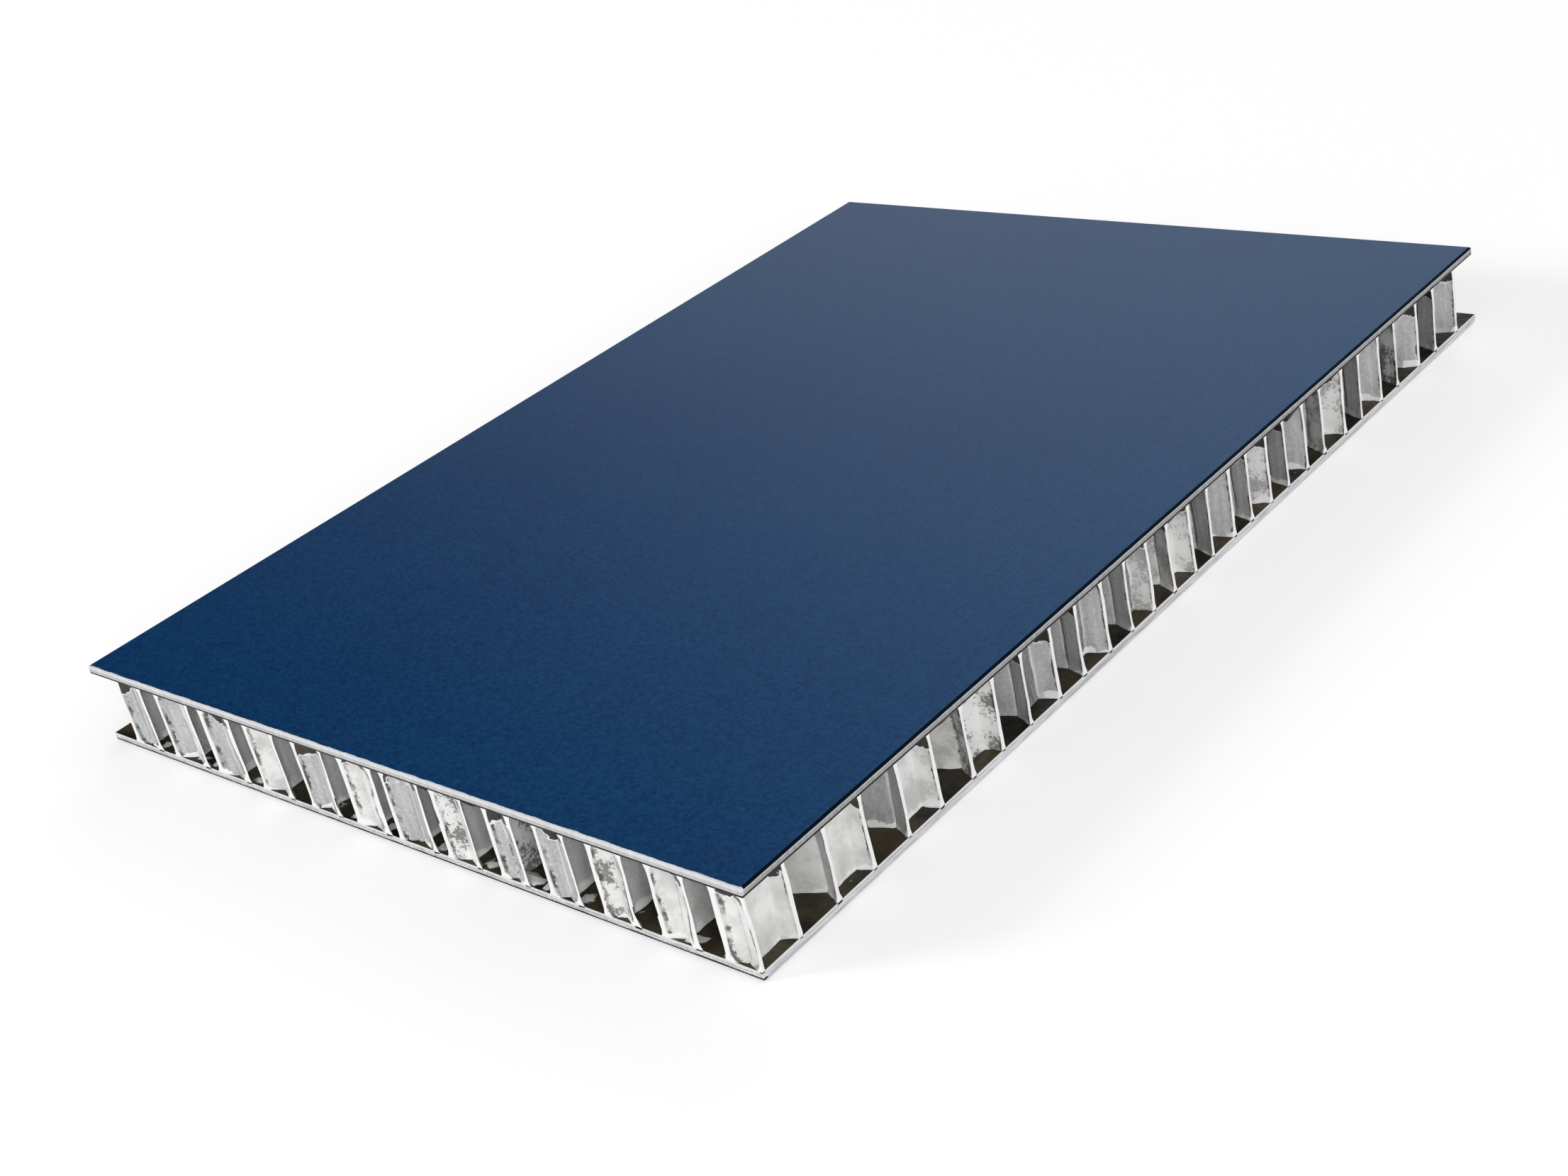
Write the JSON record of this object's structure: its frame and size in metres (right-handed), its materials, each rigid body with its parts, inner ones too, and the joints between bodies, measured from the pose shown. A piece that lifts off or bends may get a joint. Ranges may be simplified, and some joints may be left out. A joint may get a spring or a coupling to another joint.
{
  "type": "honeycomb sandwich panel",
  "caption": "Flat rectangular sandwich panel sample: a painted and a bare aluminium face sheet bonded to an open-edged core of corrugated foil ribbons.",
  "frame": {"origin": "middle of the panel's underside", "axes": "+Z out of the painted face, +Y along the foil ribbons and the panel's length, +X across the ribbons"},
  "size_m": [0.148, 0.21, 0.015],
  "materials": {
    "painted_sheet": "satin dark blue coil coating, bare at the sawn edges",
    "bare_sheet": "mill",
    "foil": "bright foil",
    "adhesive": "cured dark brown adhesive"
  },
  "bodies": {
    "root": {"bottom_adhesive_film": "adhesive", "bottom_face_sheet": "bare_sheet", "foil_ribbon_01": "foil", "foil_ribbon_02": "foil", "foil_ribbon_03": "foil", "foil_ribbon_04": "foil", "foil_ribbon_05": "foil", "foil_ribbon_06": "foil", "foil_ribbon_07": "foil", "foil_ribbon_08": "foil", "foil_ribbon_09": "foil", "foil_ribbon_10": "foil", "foil_ribbon_11": "foil", "foil_ribbon_12": "foil", "foil_ribbon_13": "foil", "foil_ribbon_14": "foil", "foil_ribbon_15": "foil", "foil_ribbon_16": "foil", "foil_ribbon_17": "foil", "foil_ribbon_18": "foil", "foil_ribbon_19": "foil", "foil_ribbon_20": "foil", "foil_ribbon_21": "foil", "foil_ribbon_22": "foil", "foil_ribbon_23": "foil", "foil_ribbon_24": "foil", "foil_ribbon_25": "foil", "left_edge_ribbon": "foil", "right_edge_ribbon": "foil", "top_adhesive_film": "adhesive", "top_face_sheet": "painted_sheet"}
  },
  "joints": []
}
